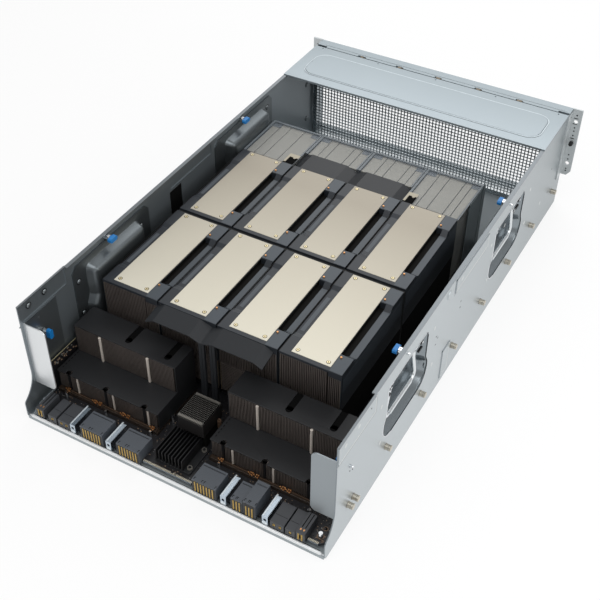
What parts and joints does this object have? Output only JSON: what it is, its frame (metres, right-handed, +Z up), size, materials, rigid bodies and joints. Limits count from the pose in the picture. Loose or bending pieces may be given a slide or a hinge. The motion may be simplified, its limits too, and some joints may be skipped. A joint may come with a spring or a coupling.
{
  "type": "gpu server",
  "caption": "Slide-in server tray with capped accelerator modules, blind-mate connectors, air ducts, recessed side handles and a perforated exhaust end.",
  "frame": {"origin": "centre of the tray's underside", "axes": "+Z up, +Y from the connector edge to the exhaust screen, +X to the right seen from the connector edge"},
  "size_m": [0.472, 0.8, 0.178],
  "materials": {
    "galvanised_steel": "satin zinc coated sheet",
    "black_paint": "semi-matt black",
    "bright_steel": "bright",
    "grip_blue": "moulded",
    "stud_steel": "satin",
    "board_black": "solder mask",
    "connector_slate": "moulded",
    "fin_black": "black anodised",
    "fin_silver": "satin",
    "shroud_slate": "satin",
    "hood_slate": "satin",
    "plate_champagne": "brushed",
    "duct_smoke": "smoky clear plastic",
    "stack_taupe": "satin",
    "seal_black": "matt"
  },
  "bodies": {
    "tray": {"base_pan": "galvanised_steel", "left_wall": "galvanised_steel", "right_wall": "galvanised_steel", "corner_brackets": "galvanised_steel", "exhaust_screen": "galvanised_steel", "rear_top_strip": "galvanised_steel", "rack_ears": "galvanised_steel", "rear_cover": "galvanised_steel", "left_front_recess": "galvanised_steel", "left_rear_recess": "galvanised_steel", "right_front_recess": "galvanised_steel", "right_rear_recess": "galvanised_steel", "left_switch_cover": "black_paint", "right_switch_cover": "black_paint", "guide_blocks": "bright_steel", "plunger_barrels": "bright_steel", "board_standoffs": "bright_steel", "slide_studs": "stud_steel", "baseboard": "board_black", "module_cards": "board_black", "switch_carriers": "board_black", "signal_connectors": "connector_slate", "power_connectors": "connector_slate", "high_speed_connectors": "connector_slate", "controller_heatsink": "fin_black", "left_switch_fins": "fin_black", "right_switch_fins": "fin_black", "module_1_heatsink": "fin_black", "module_2_heatsink": "fin_black", "module_3_heatsink": "fin_black", "module_4_heatsink": "fin_black", "module_5_heatsink": "fin_black", "module_6_heatsink": "fin_black", "module_7_heatsink": "fin_black", "module_8_heatsink": "fin_black", "fine_fin_heatsink": "fin_silver", "module_1_shroud": "shroud_slate", "module_2_shroud": "shroud_slate", "module_3_shroud": "shroud_slate", "module_4_shroud": "shroud_slate", "module_5_shroud": "shroud_slate", "module_6_shroud": "shroud_slate", "module_7_shroud": "shroud_slate", "module_8_shroud": "shroud_slate", "front_hood": "hood_slate", "rear_baffle": "hood_slate", "module_plates": "plate_champagne", "exhaust_ducts": "duct_smoke", "exhaust_fin_stacks": "stack_taupe", "row_seal": "seal_black"},
    "left_front_handle": {"left_front_handle": "bright_steel"},
    "left_rear_handle": {"left_rear_handle": "bright_steel"},
    "left_front_plunger": {"left_front_plunger": "grip_blue"},
    "left_middle_plunger": {"left_middle_plunger": "grip_blue"},
    "left_rear_plunger": {"left_rear_plunger": "grip_blue"},
    "right_front_handle": {"right_front_handle": "bright_steel"},
    "right_rear_handle": {"right_rear_handle": "bright_steel"},
    "right_front_plunger": {"right_front_plunger": "grip_blue"},
    "right_middle_plunger": {"right_middle_plunger": "grip_blue"},
    "right_rear_plunger": {"right_rear_plunger": "grip_blue"}
  },
  "joints": [
    {"name": "left_front_handle_swing", "type": "hinge", "parent": "tray", "child": "left_front_handle", "pos_m": [-0.211, -0.196, 0.136], "axis": [0, 1, 0], "range_deg": [0, 90]},
    {"name": "left_rear_handle_swing", "type": "hinge", "parent": "tray", "child": "left_rear_handle", "pos_m": [-0.211, 0.14, 0.136], "axis": [0, 1, 0], "range_deg": [0, 90]},
    {"name": "left_front_plunger_pull", "type": "slide", "parent": "tray", "child": "left_front_plunger", "axis": [1, 0, 0], "range_m": [0, 0.006], "stiffness_N_per_m": 300},
    {"name": "left_middle_plunger_pull", "type": "slide", "parent": "tray", "child": "left_middle_plunger", "axis": [1, 0, 0], "range_m": [0, 0.006], "stiffness_N_per_m": 300},
    {"name": "left_rear_plunger_pull", "type": "slide", "parent": "tray", "child": "left_rear_plunger", "axis": [1, 0, 0], "range_m": [0, 0.006], "stiffness_N_per_m": 300},
    {"name": "right_front_handle_swing", "type": "hinge", "parent": "tray", "child": "right_front_handle", "pos_m": [0.211, -0.196, 0.136], "axis": [0, -1, 0], "range_deg": [0, 90]},
    {"name": "right_rear_handle_swing", "type": "hinge", "parent": "tray", "child": "right_rear_handle", "pos_m": [0.211, 0.14, 0.136], "axis": [0, -1, 0], "range_deg": [0, 90]},
    {"name": "right_front_plunger_pull", "type": "slide", "parent": "tray", "child": "right_front_plunger", "axis": [-1, 0, 0], "range_m": [0, 0.006], "stiffness_N_per_m": 300},
    {"name": "right_middle_plunger_pull", "type": "slide", "parent": "tray", "child": "right_middle_plunger", "axis": [-1, 0, 0], "range_m": [0, 0.006], "stiffness_N_per_m": 300},
    {"name": "right_rear_plunger_pull", "type": "slide", "parent": "tray", "child": "right_rear_plunger", "axis": [-1, 0, 0], "range_m": [0, 0.006], "stiffness_N_per_m": 300}
  ]
}
